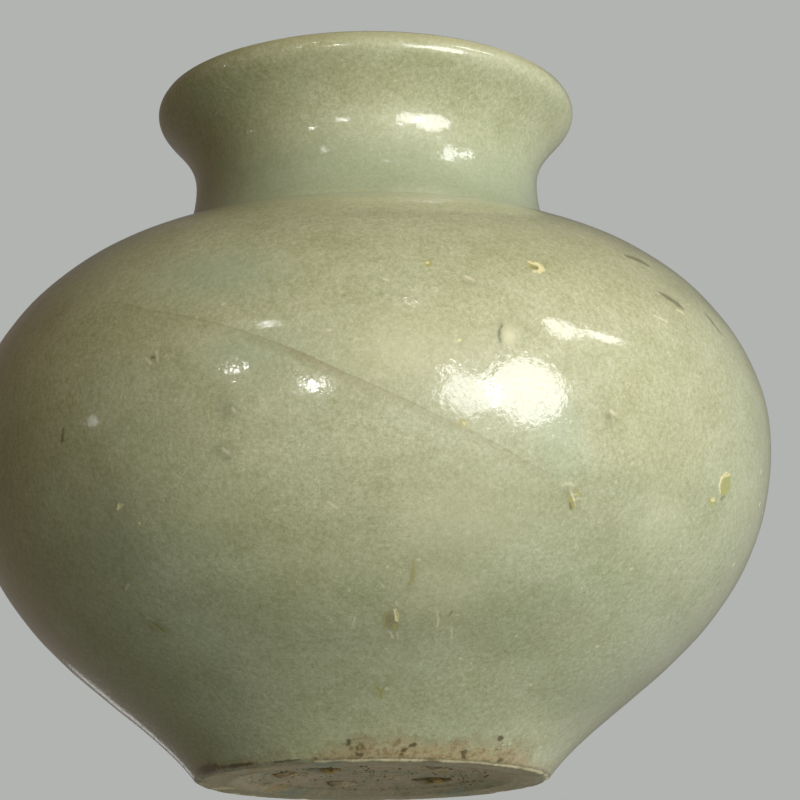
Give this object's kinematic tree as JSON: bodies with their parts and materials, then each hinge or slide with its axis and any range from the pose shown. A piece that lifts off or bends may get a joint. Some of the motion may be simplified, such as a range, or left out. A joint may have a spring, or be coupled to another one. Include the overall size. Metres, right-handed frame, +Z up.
{
  "type": "water pot",
  "caption": "Small squat round jar of glazed stoneware on a narrow flat foot, with a short neck that flares to an open lip, for holding water.",
  "frame": {"origin": "middle of the foot, on the surface that the pot stands on", "axes": "+Z up, out of the mouth, along the axis that the pot was turned on; the pot is round, so X and Y have no special direction"},
  "size_m": [0.088, 0.088, 0.0769],
  "materials": {
    "bare_clay": "bare grey-brown stoneware clay, dry and slightly gritty, stained brown around the foot",
    "clay_wall": "grey stoneware clay under the glaze",
    "celadon_glaze": "glossy grey-green celadon glaze with fine speckle, pits, small chips and one long hairline",
    "inner_glaze": "glossy grey-green celadon glaze, thinner and slightly duller than outside",
    "kiln_grit": "rough pale ochre grit, fired on"
  },
  "bodies": {
    "root": {"base_slab": "bare_clay", "body_wall": "clay_wall", "neck_collar": "clay_wall", "outer_glaze": "celadon_glaze", "inner_glaze": "inner_glaze", "grit_crumb_1": "kiln_grit", "grit_crumb_2": "kiln_grit", "grit_crumb_3": "kiln_grit", "grit_crumb_4": "kiln_grit", "grit_crumb_5": "kiln_grit"}
  },
  "joints": []
}
